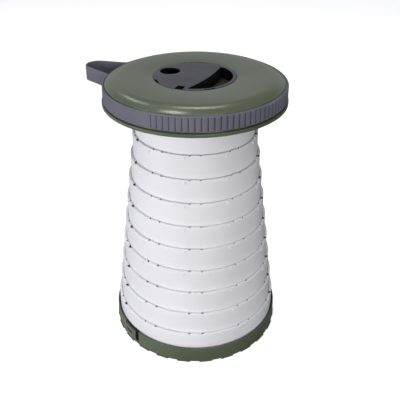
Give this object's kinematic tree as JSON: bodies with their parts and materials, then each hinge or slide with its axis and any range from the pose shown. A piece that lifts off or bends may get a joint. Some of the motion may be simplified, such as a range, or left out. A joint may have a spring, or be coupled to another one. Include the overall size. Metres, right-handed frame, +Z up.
{
  "type": "collapsible telescopic stool",
  "caption": "Round stool of nested rings that slide out of one another between a low base and a domed seat with a grip insert, a ribbed band and a strap loop.",
  "frame": {"origin": "centre of the stool on the floor, under its feet", "axes": "+Z up along the rings, -X towards the strap loop, +X towards the finger opening"},
  "size_m": [0.3047, 0.2584, 0.4015],
  "materials": {
    "feet": "matt moulded rubber",
    "green_plastic": "fine-grained olive green moulding",
    "white_plastic": "smooth off-white moulding",
    "grey_plastic": "fine-grained purple-grey moulding",
    "grey_rubber": "soft matt elastomer",
    "screw_steel": "zinc-plated steel"
  },
  "bodies": {
    "base": {"foot_pads": "feet", "base_shell": "green_plastic", "base_plate": "green_plastic", "floor_plate": "green_plastic", "base_catch": "green_plastic", "base_screws": "screw_steel", "base_nuts": "screw_steel", "ring_10": "white_plastic"},
    "stage_9": {"ring_9": "white_plastic"},
    "stage_8": {"ring_8": "white_plastic"},
    "stage_7": {"ring_7": "white_plastic"},
    "stage_6": {"ring_6": "white_plastic"},
    "stage_5": {"ring_5": "white_plastic"},
    "stage_4": {"ring_4": "white_plastic"},
    "stage_3": {"ring_3": "white_plastic"},
    "stage_2": {"ring_2": "white_plastic"},
    "stage_1": {"ring_1": "white_plastic"},
    "seat": {"seat_spigot": "white_plastic", "seat_top": "green_plastic", "seat_rim": "green_plastic", "grip_cup": "green_plastic", "seat_screws": "screw_steel", "ribbed_band": "grey_rubber", "carry_strap": "grey_rubber", "grip_insert": "grey_plastic"}
  },
  "joints": [
    {"name": "stage_9_slide", "type": "slide", "parent": "base", "child": "stage_9", "axis": [0, 0, 1], "range_m": [-0.0342, 0]},
    {"name": "stage_8_slide", "type": "slide", "parent": "stage_9", "child": "stage_8", "axis": [0, 0, 1], "range_m": [-0.0342, 0]},
    {"name": "stage_7_slide", "type": "slide", "parent": "stage_8", "child": "stage_7", "axis": [0, 0, 1], "range_m": [-0.0342, 0]},
    {"name": "stage_6_slide", "type": "slide", "parent": "stage_7", "child": "stage_6", "axis": [0, 0, 1], "range_m": [-0.0342, 0]},
    {"name": "stage_5_slide", "type": "slide", "parent": "stage_6", "child": "stage_5", "axis": [0, 0, 1], "range_m": [-0.0342, 0]},
    {"name": "stage_4_slide", "type": "slide", "parent": "stage_5", "child": "stage_4", "axis": [0, 0, 1], "range_m": [-0.0342, 0]},
    {"name": "stage_3_slide", "type": "slide", "parent": "stage_4", "child": "stage_3", "axis": [0, 0, 1], "range_m": [-0.0342, 0]},
    {"name": "stage_2_slide", "type": "slide", "parent": "stage_3", "child": "stage_2", "axis": [0, 0, 1], "range_m": [-0.0342, 0]},
    {"name": "stage_1_slide", "type": "slide", "parent": "stage_2", "child": "stage_1", "axis": [0, 0, 1], "range_m": [-0.0342, 0]},
    {"name": "seat_slide", "type": "slide", "parent": "stage_1", "child": "seat", "axis": [0, 0, 1], "range_m": [-0.0342, 0]}
  ]
}
